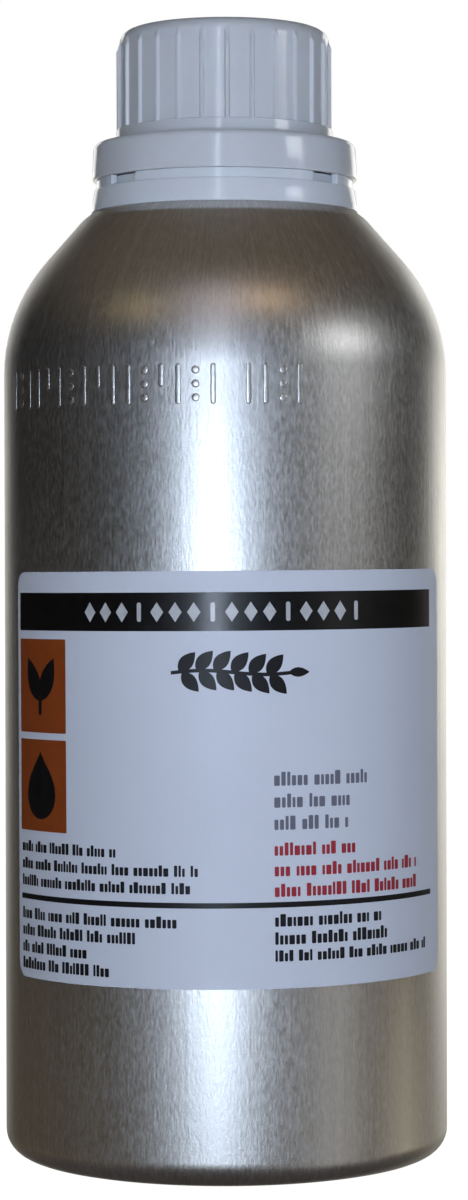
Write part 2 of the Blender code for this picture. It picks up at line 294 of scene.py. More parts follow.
# %% Struck marks
MARK_LOW_Z = 122.4
MARK_HIGH_Z = 127.9
MARK_MIDDLE_Z = (MARK_LOW_Z + MARK_HIGH_Z) / 2
MARK_WIDTH = 0.85
MARK_HEIGHT = 0.1
MARK_SUNK = 0.12
FIRST_MARK = -43.0
MARK_STEP = 2.75
DOT_WIDTH = 1.5 * MARK_WIDTH
DOT_INSET = 0.6
MARK_PATTERN = ("bar", "dots", "bar", "bar", "tick", "bar", "dots", "bar", "tick", "bar", "bar",
                "dots", "tick", "bar", "dots", "bar", "gap", "bar", "bar", "dots", "bar")


def wrap(along, height, radius):
    """A point of a flat sheet, in mm, wrapped on an upright cylinder with its middle at the front."""
    return round_axis(radius, FRONT + along / BODY_RADIUS, height)


def raised_stroke(bm, start, end, width, corner_steps=8, rise_steps=4):
    """A ridge with round ends along a straight stroke, highest along its middle."""
    start, end = Vector(start), Vector(end)
    length = (end - start).length
    direction = (end - start).normalized() if length else Vector((0.0, 1.0))
    side = Vector((-direction.y, direction.x))
    rings = []
    for level in range(rise_steps + 1):
        climb = math.pi / 2 * max(level - 1, 0) / (rise_steps - 0.4)
        half = width / 2 * math.cos(climb)
        lift = MARK_HEIGHT * math.sin(climb) if level else -MARK_SUNK
        ring = []
        for centre, facing in ((end, direction), (start, -direction)):
            across = side if facing == direction else -side
            for k in range(corner_steps + 1):
                angle = math.pi * k / corner_steps
                point = centre - across * half * math.cos(angle) + facing * half * math.sin(angle)
                ring.append(bm.verts.new(wrap(point.x, point.y, BODY_RADIUS + lift)))
        rings.append(ring)
    skin(bm, rings)


bm = bmesh.new()
for i, mark in enumerate(MARK_PATTERN):
    along = FIRST_MARK + i * MARK_STEP
    if mark == "bar":
        raised_stroke(bm, (along, MARK_LOW_Z), (along, MARK_HIGH_Z), MARK_WIDTH)
    elif mark == "tick":
        raised_stroke(bm, (along, MARK_MIDDLE_Z), (along, MARK_HIGH_Z), MARK_WIDTH)
    elif mark == "dots":
        for z in (MARK_LOW_Z + DOT_INSET, MARK_MIDDLE_Z, MARK_HIGH_Z - DOT_INSET):
            raised_stroke(bm, (along, z), (along, z), DOT_WIDTH)
struck_row = piece_from("struck_row", bm, math.radians(70))
print("struck row:", len(MARK_PATTERN), "places")

# %% [markdown]
# ## The screw cap
#
# The cap is moulded in one piece: a domed edge, a grip with narrow ribs between broad flat panels, a plain
# band, and a wide skirt that covers the bead. The grip isn't round, so a Screw modifier alone can't make
# it. Rings of points are stacked instead, and each ring asks one formula how far the ribs stand out there.

# %% Cap body with its ribbed grip
CAP_TOP_Z = 185.2
TOP_DISC_RADIUS = 12.6
TOP_DISC_DEPTH = 0.25
DOME_RADIUS = 17.25
DOME_ROUNDING = 2.3
RIBS = 27
RIB_PHASE = math.radians(1.67)
RIB_RADIUS = 17.85
RIB_CREST = 0.045
RIB_FOOT = 0.115
PANEL_RADIUS = 17.38
PANEL_DISH = 0.05
GRIP_LOW_Z = 168.7
GRIP_HIGH_Z = 182.4
SKIRT_RADIUS = 21.95
SKIRT_TOP_RADIUS = 21.6
SKIRT_TOP_Z = 166.35
SKIRT_LOW_Z = 160.4
SKIRT_WALL = 1.45
SKIRT_CEILING_Z = 165.0
CAP_BORE = 16.3
CAP_CEILING_Z = 183.4

cap_corners = [
    (0.0, CAP_TOP_Z - TOP_DISC_DEPTH),
    (TOP_DISC_RADIUS, CAP_TOP_Z - TOP_DISC_DEPTH, 0.4),
    (TOP_DISC_RADIUS + 0.4, CAP_TOP_Z, 0.4),
    (DOME_RADIUS, CAP_TOP_Z, DOME_ROUNDING),
    (PANEL_RADIUS, GRIP_HIGH_Z - 0.1),
    (PANEL_RADIUS, GRIP_LOW_Z + 0.16),
    (RIB_RADIUS, GRIP_LOW_Z, 0.12),
    (RIB_RADIUS + 0.05, SKIRT_TOP_Z + 0.35, 0.6),
    (SKIRT_TOP_RADIUS, SKIRT_TOP_Z, 1.0),
    (SKIRT_RADIUS, SKIRT_LOW_Z, 0.25),
    (SKIRT_RADIUS - SKIRT_WALL, SKIRT_LOW_Z, 0.2),
    (SKIRT_RADIUS - SKIRT_WALL, SKIRT_CEILING_Z, 0.5),
    (CAP_BORE, SKIRT_CEILING_Z + 0.8, 0.4),
    (CAP_BORE, CAP_CEILING_Z, 0.4),
    (0.0, CAP_CEILING_Z),
]


def rib_height(turn):
    """How far the grip stands out from its panels at one angle, from 0 to 1."""
    step = math.tau / RIBS
    off = abs((turn - FRONT - RIB_PHASE + step / 2) % step - step / 2) / step
    if off <= RIB_CREST:
        return 1.0
    if off >= RIB_FOOT:
        return 0.0
    return 0.5 + 0.5 * math.cos(math.pi * (off - RIB_CREST) / (RIB_FOOT - RIB_CREST))


def rib_share(z):
    """The ribs start square at the grip's foot and run out softly under the domed edge."""
    if z < GRIP_LOW_Z + 0.1 or z > GRIP_HIGH_Z + 0.2:
        return 0.0
    return min(1.0, math.sqrt(max(0.0, (GRIP_HIGH_Z + 0.2 - z) / 0.7)))


def on_grip(radius):
    return abs(radius - PANEL_RADIUS) < 0.01


cap_profile = []
plain_profile = round_corners(cap_corners, steps=6)
for here, there in zip(plain_profile, plain_profile[1:]):
    cap_profile.append(here)
    if on_grip(here.x) and on_grip(there.x):
        cap_profile += [here.lerp(there, t) for t in (0.01, 0.02, 0.035, 0.06, 0.3, 0.6, 0.9, 0.999)]
cap_profile.append(plain_profile[-1])

one_side = (RIB_CREST, 0.067, 0.09, RIB_FOOT, 0.16, 0.24, 0.36)
rib_samples = [-0.5] + [-s for s in reversed(one_side)] + [0.0] + list(one_side)
bm = bmesh.new()
columns = []
for turn in [FRONT + RIB_PHASE + (i + s) * math.tau / RIBS for i in range(RIBS) for s in rib_samples]:
    crest = rib_height(turn)
    column = []
    for radius, z in cap_profile:
        if on_grip(radius):
            radius += (RIB_RADIUS - PANEL_RADIUS) * crest * rib_share(z) - PANEL_DISH * (1 - crest)
        column.append(round_axis(radius, turn, z))
    columns.append(column)
top = bm.verts.new(columns[0][0])
ceiling = bm.verts.new(columns[0][-1])
grid = [[bm.verts.new(point) for point in column[1:-1]] for column in columns]
for here, there in zip(grid, grid[1:] + grid[:1]):
    bm.faces.new((top, here[0], there[0]))
    for k in range(len(here) - 1):
        bm.faces.new((here[k], here[k + 1], there[k + 1], there[k]))
    bm.faces.new((here[-1], ceiling, there[-1]))
cap_body = piece_from("cap_body", bm)
print("cap:", RIBS, "ribs,", len(cap_body.data.polygons), "faces")

# %% Cap thread
CAP_THREAD_HEIGHT = 1.2
CAP_THREAD_START_Z = THREAD_START_Z - 1.45
cap_thread = thread_ridge("cap_thread", CAP_BORE, -CAP_THREAD_HEIGHT, CAP_THREAD_START_Z)
print("cap thread starts at", round(CAP_THREAD_START_Z, 2), "mm")

# %% [markdown]
# ## The tamper-evident ring
#
# The ring is moulded with the cap and stays on the neck when the cap is first opened. A low web joins the
# two: it is set back from both, slit in four places, and its thin bridges tear. The ring itself is turned.
# The web is made of arcs, because the slits are part of its outline and need no cutting.

# %% Ring, web and bridges
RING_LOW_Z = 155.12
RING_TOP_Z = 158.85
RING_TOP_RADIUS = 21.55
RING_LOW_RADIUS = 22.12
RING_BORE = 20.4
CATCH_RADIUS = 19.35
CATCH_TOP_Z = 156.7
WEB_LOW_Z = 158.5
WEB_TOP_Z = 160.37
WEB_RADIUS = 21.2
SLITS = (50.5, 129.5, 230.5, 309.5)
SLIT_SPAN = 16.0
BRIDGE_GAP = 2.2
BRIDGE_HALF_SPAN = 2.0
BRIDGE_LOW = (WEB_RADIUS - 0.2, WEB_LOW_Z)
BRIDGE_HIGH = (RING_TOP_RADIUS - 0.08, SKIRT_LOW_Z - 0.06)
FLANGE_RADIUS = 20.14
FLANGE_WALL = 0.16
FLANGE_LOW_Z = 158.6
FLANGE_TOP_Z = 160.3

ring_corners = [
    (RING_TOP_RADIUS, RING_TOP_Z, 0.35),
    (RING_LOW_RADIUS, RING_LOW_Z - 0.27, 0.12),
    (LEDGE_EDGE[0] - 0.4, RING_LOW_Z, 0.2),
    (CATCH_RADIUS, RING_LOW_Z, 0.3),
    (CATCH_RADIUS, CATCH_TOP_Z, 0.2),
    (RING_BORE, CATCH_TOP_Z + 0.5, 0.3),
    (RING_BORE, RING_TOP_Z, 0.1),
]
flange_corners = [
    (FLANGE_RADIUS, FLANGE_TOP_Z, 0.05),
    (FLANGE_RADIUS, FLANGE_LOW_Z),
    (FLANGE_RADIUS - FLANGE_WALL, FLANGE_LOW_Z),
    (FLANGE_RADIUS - FLANGE_WALL, FLANGE_TOP_Z, 0.05),
]


def arc_block(bm, low, high, start, end, chamfer=0.08):
    """A bar bent round the axis, from low to high (radius, height) and from start to end in degrees."""
    (r0, z0), (r1, z1) = low, high
    outline = [
        (r0, z0 + chamfer), (r0 + chamfer, z0), (r1 - chamfer, z0), (r1, z0 + chamfer),
        (r1, z1 - chamfer), (r1 - chamfer, z1), (r0 + chamfer, z1), (r0, z1 - chamfer),
    ]
    count = max(2, round(abs(end - start) / 2))
    sections = []
    for i in range(count + 1):
        turn = FRONT + math.radians(start + (end - start) * i / count)
        sections.append([bm.verts.new(round_axis(r, turn, z)) for r, z in outline])
    skin(bm, sections)


ring_body = turned("ring_body", round_corners(ring_corners, steps=5), closed=True)
bm = bmesh.new()
for here, there in zip(SLITS, SLITS[1:] + (SLITS[0] + 360,)):
    start, end = here + SLIT_SPAN / 2, there - SLIT_SPAN / 2
    arc_block(bm, (RING_BORE + 0.02, WEB_LOW_Z), (WEB_RADIUS, WEB_TOP_Z), start, end)
ring_web = piece_from("ring_web", bm)
ring_flange = turned("ring_flange", round_corners(flange_corners, steps=3), closed=True)
bm = bmesh.new()
for slit in SLITS:
    toward_side = 1 if slit < 90 or 180 < slit < 270 else -1
    bridge = slit + toward_side * (SLIT_SPAN / 2 + BRIDGE_GAP)
    arc_block(bm, BRIDGE_LOW, BRIDGE_HIGH, bridge - BRIDGE_HALF_SPAN, bridge + BRIDGE_HALF_SPAN)
ring_bridges = piece_from("ring_bridges", bm)
print("ring: one web with", len(SLITS), "slits and", len(SLITS), "bridges")

# %% [markdown]
# ## The label
#
# The label is a sheet of coated paper with round corners, put on by hand a little to the right and a
# little off level. A flat outline is filled, sliced into narrow strips, given a thickness and then
# wrapped on the body. The print is made the same way, as a thin layer of ink that lies on the paper, so
# its edges stay crisp at any distance.

# %% Wrapped sheets
LABEL_WIDTH = 85.7
LABEL_HEIGHT = 64.9
LABEL_MIDDLE = (1.15, 63.7)
LABEL_TILT = math.radians(0.3)
LABEL_CORNER = 2.5
LABEL_INNER = BODY_RADIUS + 0.03
LABEL_OUTER = BODY_RADIUS + 0.25
INK = 0.03
INK_SUNK = 0.02
STRIP = 1.6


def on_label(x, z, radius):
    """A point of the flat label, x along the wall and z up, tilted and then wrapped on the body."""
    across, up = x - LABEL_MIDDLE[0], z - LABEL_MIDDLE[1]
    turned_x = LABEL_MIDDLE[0] + across * math.cos(LABEL_TILT) - up * math.sin(LABEL_TILT)
    turned_z = LABEL_MIDDLE[1] + across * math.sin(LABEL_TILT) + up * math.cos(LABEL_TILT)
    return round_axis(radius, FRONT + turned_x / LABEL_OUTER, turned_z)


def wrapped(name, outlines, inner, outer):
    """Closed outlines on the flat label, each made a thin sheet between two radii."""
    whole = bmesh.new()
    for outline in outlines:
        bm = bmesh.new()
        face = bm.faces.new([bm.verts.new((x, z, 0.0)) for x, z in outline])
        face.normal_update()
        if face.normal.z < 0:
            face.normal_flip()
        low, high = min(x for x, z in outline), max(x for x, z in outline)
        for i in range(1, int((high - low) / STRIP) + 1):
            cut = (low + i * STRIP, 0, 0)
            everything = bm.verts[:] + bm.edges[:] + bm.faces[:]
            bmesh.ops.bisect_plane(bm, geom=everything, dist=1e-5, plane_co=cut, plane_no=(1, 0, 0))
        made = bmesh.ops.extrude_face_region(bm, geom=bm.faces[:], use_keep_orig=True)
        lifted = {v for v in made["geom"] if isinstance(v, bmesh.types.BMVert)}
        for vert in bm.verts:
            vert.co = on_label(vert.co.x, vert.co.y, outer if vert in lifted else inner)
        bmesh.ops.recalc_face_normals(bm, faces=bm.faces)
        part = bpy.data.meshes.new("part")
        bm.to_mesh(part)
        bm.free()
        whole.from_mesh(part)
        bpy.data.meshes.remove(part)
    mesh = bpy.data.meshes.new(name)
    whole.to_mesh(mesh)
    whole.free()
    return settle(add_piece(name, mesh), math.radians(30))


def rounded_box(x0, z0, x1, z1, radius, steps=5):
    """Corner points of a rectangle with round corners."""
    points = []
    for quarter, (x, z) in enumerate(((x1, z1), (x0, z1), (x0, z0), (x1, z0))):
        cx = x - math.copysign(radius, x - (x0 + x1) / 2)
        cz = z - math.copysign(radius, z - (z0 + z1) / 2)
        for k in range(steps + 1):
            angle = math.pi / 2 * (quarter + k / steps)
            points.append((cx + radius * math.cos(angle), cz + radius * math.sin(angle)))
    return points


left, right = LABEL_MIDDLE[0] - LABEL_WIDTH / 2, LABEL_MIDDLE[0] + LABEL_WIDTH / 2
low, high = LABEL_MIDDLE[1] - LABEL_HEIGHT / 2, LABEL_MIDDLE[1] + LABEL_HEIGHT / 2
label_sheet = wrapped(
    "label_sheet", [rounded_box(left, low, right, high, LABEL_CORNER)], LABEL_INNER, LABEL_OUTER
)
print("label:", LABEL_WIDTH, "x", LABEL_HEIGHT, "mm")

# %% [markdown]
# ## The print
#
# The print keeps the layout of such labels: a black band, two orange squares, a heading, four blocks of
# small lines and a rule. Its content is generic. The heading is a sprig, the squares hold a pair of leaves
# and a drop, the band has a row of lozenges and bars, and each small line is a row of blocks where a line
# of type would be.

# %% Ink helpers
def print_layer(name, outlines, level=1):
    return wrapped(name, outlines, LABEL_OUTER - INK_SUNK, LABEL_OUTER + INK * level)


def leaf(x, z, length, width, angle, steps=9):
    """A pointed leaf that starts at (x, z) and grows along angle."""
    points = []
    for side in (1, -1):
        for k in range(steps):
            t = k / steps if side == 1 else 1 - k / steps
            bulge = side * width / 2 * math.sin(math.pi * t ** 0.85) ** 0.9
            points.append((length * t, bulge))
    c, s = math.cos(angle), math.sin(angle)
    return [(x + c * a - s * b, z + s * a + c * b) for a, b in points]


def lozenge(x, z, width, height):
    return [(x + width / 2, z), (x, z + height / 2), (x - width / 2, z), (x, z - height / 2)]


def line_of_blocks(x0, x1, z, height):
    """Word-like groups of small upright blocks between x0 and x1, on a common middle line."""
    outlines = []
    x = x0
    while x < x1 - 0.4 * height:
        for _ in range(chance.randint(3, 8)):
            width = height * chance.uniform(0.28, 0.62)
            if x + width > x1:
                break
            rise = height * (0.35 if chance.random() < 0.3 else 0.0)
            low, high = z - height / 2, z + height / 2 + rise
            outlines.append(rounded_box(x, low, x + width, high, 0.1 * height, 2))
            x += width + 0.16 * height
        x += 0.55 * height
    return outlines


# %% Band, rule and squares
BAND = (-40.7, 86.85, 40.5, 92.85)
RULE = (-40.5, 43.85, 40.5, 44.7)
SQUARE_LEFT, SQUARE_RIGHT = -40.6, -27.7
UPPER_SQUARE = (70.6, 85.5)
LOWER_SQUARE = (54.9, 69.5)
band = print_layer("print_band", [rounded_box(*BAND, 0.15, 2)])
rule = print_layer("print_rule", [rounded_box(*RULE, 0.1, 2)])
squares = print_layer(
    "print_squares",
    [rounded_box(SQUARE_LEFT, a, SQUARE_RIGHT, b, 0.15, 2) for a, b in (UPPER_SQUARE, LOWER_SQUARE)],
)

# %% Lozenges and bars on the band
BAND_MARKS = 16
BAND_MARK_START = -22.4
BAND_MARK_STEP = 2.95
BAND_MIDDLE_Z = 89.8
LOZENGE_WIDTH, LOZENGE_HEIGHT = 2.1, 3.1
BAR_HALF_WIDTH, BAR_HALF_HEIGHT = 0.35, 1.5
marks = []
for i in range(BAND_MARKS):
    x = BAND_MARK_START + i * BAND_MARK_STEP
    if i % 4 == 3:
        low, high = BAND_MIDDLE_Z - BAR_HALF_HEIGHT, BAND_MIDDLE_Z + BAR_HALF_HEIGHT
        marks.append(rounded_box(x - BAR_HALF_WIDTH, low, x + BAR_HALF_WIDTH, high, 0.3, 3))
    else:
        marks.append(lozenge(x, BAND_MIDDLE_Z, LOZENGE_WIDTH, LOZENGE_HEIGHT))
band_marks = print_layer("print_band_marks", marks, level=2)

# %% Leaves and drop on the squares
SQUARE_MIDDLE = (SQUARE_LEFT + SQUARE_RIGHT) / 2
UPPER_MIDDLE = sum(UPPER_SQUARE) / 2
DROP_MIDDLE = sum(LOWER_SQUARE) / 2 - 1.5
PAIR_LENGTH, PAIR_WIDTH = 7.6, 3.5
PAIR_LEAN = 26
PAIR_LOW = UPPER_MIDDLE - 2.4
STALK_HALF = 0.4
DROP_RADIUS = 3.9
DROP_TIP = 1.75
DROP_STEPS = 28
motifs = []
for side in (-1, 1):
    angle = math.radians(90 - side * PAIR_LEAN)
    motifs.append(leaf(SQUARE_MIDDLE + side * 0.3, PAIR_LOW, PAIR_LENGTH, PAIR_WIDTH, angle))
stalk_low, stalk_high = PAIR_LOW - 2.2, PAIR_LOW + 0.5
motifs.append(
    rounded_box(SQUARE_MIDDLE - STALK_HALF, stalk_low, SQUARE_MIDDLE + STALK_HALF, stalk_high, 0.2, 2)
)
drop = []
for k in range(DROP_STEPS):
    t = math.tau * k / DROP_STEPS
    pull = 1 - 0.9 * max(0.0, math.sin(t)) ** 2.2
    tall = DROP_TIP if math.sin(t) > 0 else 1.0
    x = SQUARE_MIDDLE + DROP_RADIUS * math.cos(t) * pull
    drop.append((x, DROP_MIDDLE + DROP_RADIUS * math.sin(t) * tall))
motifs.append(drop)
square_motifs = print_layer("print_motifs", motifs, level=2)

# %% Sprig in the heading
SPRIG_LEFT, SPRIG_RIGHT = -8.4, 11.5
SPRIG_Z = 80.4
STEM_WAVE = 0.35
STEM_HALF = 0.28
STEM_STEPS = 12
LEAF_PAIRS = 6
LEAF_STEP = 2.75
LEAF_LENGTH, LEAF_WIDTH = 4.0, 2.2
LEAF_LEAN = math.radians(48)


def stem_z(x):
    """The height of the stem's middle, one shallow wave from end to end."""
    return SPRIG_Z + STEM_WAVE * math.sin((x - SPRIG_LEFT) / (SPRIG_RIGHT - SPRIG_LEFT) * math.tau)


stem = [SPRIG_LEFT + (SPRIG_RIGHT - SPRIG_LEFT) * k / STEM_STEPS for k in range(STEM_STEPS + 1)]
upper_edge = [(x, stem_z(x) + STEM_HALF) for x in stem]
lower_edge = [(x, stem_z(x) - STEM_HALF) for x in reversed(stem)]
sprig = [upper_edge + lower_edge]
for i in range(LEAF_PAIRS):
    x = SPRIG_LEFT + 1.2 + i * LEAF_STEP
    sprig.append(leaf(x, stem_z(x) + 0.1, LEAF_LENGTH, LEAF_WIDTH, LEAF_LEAN))
    sprig.append(leaf(x + 0.5, stem_z(x) - 0.1, LEAF_LENGTH, LEAF_WIDTH, -LEAF_LEAN))
sprig.append(leaf(SPRIG_RIGHT - 1.4, SPRIG_Z - 0.05, 3.4, 1.5, 0.0))
heading = print_layer("print_heading", sprig)

# %% Small lines
LEFT_COLUMN = -40.2
RIGHT_COLUMN = 7.6

# Each line is its left end, its right end, the height of its middle and the height of its blocks.
black_lines = [
    (LEFT_COLUMN, -17.8, 52.15, 1.3),
    (LEFT_COLUMN, -4.3, 49.4, 1.3),
    (LEFT_COLUMN, -4.0, 46.7, 1.3),
    (LEFT_COLUMN, -7.2, 41.4, 1.35),
    (LEFT_COLUMN, -13.6, 38.75, 1.35),
    (LEFT_COLUMN, -23.3, 36.05, 1.35),
    (LEFT_COLUMN, -19.1, 33.4, 1.35),
    (RIGHT_COLUMN, 27.4, 41.6, 1.45),
    (RIGHT_COLUMN, 28.2, 38.8, 1.45),
    (RIGHT_COLUMN, 39.3, 36.1, 1.3),
]
red_lines = [
    (RIGHT_COLUMN, 21.7, 52.65, 1.5),
    (RIGHT_COLUMN, 36.4, 49.45, 1.5),
    (RIGHT_COLUMN, 35.7, 46.25, 1.5),
]
grey_lines = [
    (RIGHT_COLUMN, 24.0, 63.55, 1.6),
    (RIGHT_COLUMN, 20.6, 60.15, 1.6),
    (RIGHT_COLUMN, 20.6, 56.7, 1.6),
]
small_print = {}
for tone, lines in (("black", black_lines), ("red", red_lines), ("grey", grey_lines)):
    outlines = [block for line in lines for block in line_of_blocks(*line)]
    small_print[tone] = print_layer(f"print_{tone}_lines", outlines)
    print(tone, "lines:", len(lines), "with", len(outlines), "blocks")

# %% [markdown]
# ## Effects that the finishes share
#
# Every finish here needs small irregularities: fine grain, soft clouds where a surface was handled, and
# dust. Each could be copied into every material, but a node group is built once and placed where it is
# needed with its own values. The groups read object coordinates, so a finish stays on its piece when the
# piece moves, and they put out plain values from 0 to 1.

# %% Node helpers
def node(tree, kind, values=None, **settings):
    made = tree.nodes.new(kind)
    for key, value in settings.items():
        setattr(made, key, value)
    for socket, value in (values or {}).items():
        made.inputs[socket].default_value = value
    return made


def new_group(name, inputs, output):
    """A shader node group with number inputs and one number output."""
    tree = bpy.data.node_groups.new(name, "ShaderNodeTree")
    for socket, default in inputs.items():
        made = tree.interface.new_socket(socket, in_out="INPUT", socket_type="NodeSocketFloat")
        made.default_value = default
    tree.interface.new_socket(output, in_out="OUTPUT", socket_type="NodeSocketFloat")
    return tree, tree.nodes.new("NodeGroupInput"), tree.nodes.new("NodeGroupOutput")


def place(tree, group, **values):
    """Puts a group in a material and sets its inputs by name."""
    placed = node(tree, "ShaderNodeGroup", node_tree=group)
    for socket, value in values.items():
        placed.inputs[socket].default_value = value
    return placed.outputs[0]


# %% Group: streaks that run up the wall
def streaks_group():
    inputs = {"Around": 120.0, "Along": 80.0, "Contrast": 1.0}
    tree, given, result = new_group("wall streaks", inputs, "Streaks")
    link = tree.links.new
    spot = node(tree, "ShaderNodeTexCoord")
    parts = node(tree, "ShaderNodeSeparateXYZ")
    flat = node(tree, "ShaderNodeCombineXYZ")
    unit = node(tree, "ShaderNodeVectorMath", operation="NORMALIZE")
    around = node(tree, "ShaderNodeVectorMath", operation="SCALE")
    height = node(tree, "ShaderNodeMath", operation="MULTIPLY")
    upright = node(tree, "ShaderNodeCombineXYZ")
    joined = node(tree, "ShaderNodeVectorMath", operation="ADD")
    noise = node(tree, "ShaderNodeTexNoise", {"Scale": 1.0, "Detail": 3.0, "Roughness": 0.6})
    link(spot.outputs["Object"], parts.inputs[0])
    link(parts.outputs["X"], flat.inputs["X"])
    link(parts.outputs["Y"], flat.inputs["Y"])
    link(flat.outputs[0], unit.inputs[0])
    link(unit.outputs[0], around.inputs[0])
    link(given.outputs["Around"], around.inputs["Scale"])
    link(parts.outputs["Z"], height.inputs[0])
    link(given.outputs["Along"], height.inputs[1])
    link(height.outputs[0], upright.inputs["Z"])
    link(around.outputs[0], joined.inputs[0])
    link(upright.outputs[0], joined.inputs[1])
    centred = node(tree, "ShaderNodeMath", {1: 0.5}, operation="SUBTRACT")
    spread = node(tree, "ShaderNodeMath", {2: 0.5}, operation="MULTIPLY_ADD", use_clamp=True)
    link(joined.outputs[0], noise.inputs["Vector"])
    link(noise.outputs["Fac"], centred.inputs[0])
    link(centred.outputs[0], spread.inputs[0])
    link(given.outputs["Contrast"], spread.inputs[1])
    link(spread.outputs[0], result.inputs["Streaks"])
    return tree


# %% Group: soft clouds
def clouds_group():
    tree, given, result = new_group("soft clouds", {"Cell mm": 10.0, "Contrast": 1.0}, "Clouds")
    link = tree.links.new
    spot = node(tree, "ShaderNodeTexCoord")
    scale = node(tree, "ShaderNodeMath", {0: 1 / MM}, operation="DIVIDE")
    noise = node(tree, "ShaderNodeTexNoise", {"Detail": 4.0, "Roughness": 0.55})
    centred = node(tree, "ShaderNodeMath", {1: 0.5}, operation="SUBTRACT")
    spread = node(tree, "ShaderNodeMath", {2: 0.5}, operation="MULTIPLY_ADD", use_clamp=True)
    link(given.outputs["Cell mm"], scale.inputs[1])
    link(spot.outputs["Object"], noise.inputs["Vector"])
    link(scale.outputs[0], noise.inputs["Scale"])
    link(noise.outputs["Fac"], centred.inputs[0])
    link(centred.outputs[0], spread.inputs[0])
    link(given.outputs["Contrast"], spread.inputs[1])
    link(spread.outputs[0], result.inputs["Clouds"])
    return tree


# %% Group: dust specks
def specks_group():
    tree, given, result = new_group("dust specks", {"Cell mm": 3.0, "Size": 0.1}, "Specks")
    link = tree.links.new
    spot = node(tree, "ShaderNodeTexCoord")
    scale = node(tree, "ShaderNodeMath", {0: 1 / MM}, operation="DIVIDE")
    cells = node(tree, "ShaderNodeTexVoronoi")
    share = node(tree, "ShaderNodeSeparateColor")
    own_size = node(tree, "ShaderNodeMath", operation="MULTIPLY")
    falling = {"To Min": 1.0, "To Max": 0.0}
    speck = node(tree, "ShaderNodeMapRange", falling, interpolation_type="SMOOTHSTEP")
    link(given.outputs["Cell mm"], scale.inputs[1])
    link(spot.outputs["Object"], cells.inputs["Vector"])
    link(scale.outputs[0], cells.inputs["Scale"])
    link(cells.outputs["Color"], share.inputs[0])
    link(share.outputs["Red"], own_size.inputs[0])
    link(given.outputs["Size"], own_size.inputs[1])
    link(cells.outputs["Distance"], speck.inputs["Value"])
    link(own_size.outputs[0], speck.inputs["From Max"])
    link(speck.outputs["Result"], result.inputs["Specks"])
    return tree


streaks = streaks_group()
clouds = clouds_group()
specks = specks_group()
print("effect groups:", ", ".join(group.name for group in (streaks, clouds, specks)))

# %% Material helpers
def new_material(name, roughness, **constants):
    """A Principled material; constants are set directly on the shader's own sockets."""
    material = bpy.data.materials.new(name)
    material.use_nodes = True
    shader = material.node_tree.nodes["Principled BSDF"]
    shader.inputs["Roughness"].default_value = roughness
    for socket, value in constants.items():
        shader.inputs[socket.replace("_", " ")].default_value = value
    return material, material.node_tree, shader


def mixed(tree, factor, first, second):
    """Mixes two colours, each a socket or three numbers, as factor goes from 0 to 1."""
    mix = node(tree, "ShaderNodeMix", data_type="RGBA")
    tree.links.new(factor, mix.inputs["Factor"])
    for socket, colour in (("A", first), ("B", second)):
        if isinstance(colour, tuple):
            mix.inputs[socket].default_value = (*colour, 1.0)
        else:
            tree.links.new(colour, mix.inputs[socket])
    return mix.outputs["Result"]


def scaled(tree, value, low, high):
    """Maps a value from 0 to 1 on the span from low to high."""
    span = node(tree, "ShaderNodeMapRange", {"To Min": low, "To Max": high})
    tree.links.new(value, span.inputs["Value"])
    return span.outputs["Result"]


def combined(tree, operation, first, second):
    made = node(tree, "ShaderNodeMath", operation=operation)
    for socket, value in enumerate((first, second)):
        if isinstance(value, (int, float)):
            made.inputs[socket].default_value = value
        else:
            tree.links.new(value, made.inputs[socket])
    return made.outputs[0]


def bump(tree, shader, height, distance, strength=1.0):
    """Feeds a height, in units of distance mm, to the shader's Normal."""
    made = node(tree, "ShaderNodeBump", {"Strength": strength, "Distance": distance * MM})
    tree.links.new(height, made.inputs["Height"])
    tree.links.new(made.outputs["Normal"], shader.inputs["Normal"])


# %% [markdown]
# ## Aluminium
#
# The bottle is matt from being washed and etched after drawing, so its highlight is a broad soft band and
# not a mirror line. The drawing left a fine grain that runs up the wall, and such grooves spread a
# highlight round the bottle more than along it: that is what anisotropy does. Clouds in the roughness
# stand for handling, and the streaks go into colour, roughness and a very shallow bump.

# %% Bottle metal
DULL_METAL = (0.66, 0.65, 0.63)
BRIGHT_METAL = (0.88, 0.875, 0.86)
METAL_DUST = (0.45, 0.44, 0.42)


def bare_aluminium():
    material, tree, shader = new_material("bare aluminium", 0.4, Metallic=1.0, Anisotropic=0.35)
    link = tree.links.new
    grain = place(tree, streaks, Around=95.0, Along=750.0, Contrast=2.4)
    drawn = place(tree, streaks, Around=34.0, Along=14.0, Contrast=1.3)
    handled = place(tree, clouds, **{"Cell mm": 24.0, "Contrast": 1.6})
    dust = place(tree, specks, **{"Cell mm": 4.5, "Size": 0.09})
    tone = combined(tree, "ADD", scaled(tree, grain, -0.25, 0.6), scaled(tree, drawn, -0.2, 0.6))
    metal = mixed(tree, tone, DULL_METAL, BRIGHT_METAL)
    link(mixed(tree, scaled(tree, dust, 0.0, 0.35), metal, METAL_DUST), shader.inputs["Base Color"])
    rough = combined(tree, "ADD", scaled(tree, grain, 0.31, 0.42), scaled(tree, handled, 0.0, 0.05))
    rough = combined(tree, "ADD", rough, scaled(tree, dust, 0.0, 0.2))
    link(rough, shader.inputs["Roughness"])
    bump(tree, shader, combined(tree, "ADD", grain, drawn), 0.012)
    return material


aluminium = bare_aluminium()
print("made:", aluminium.name)
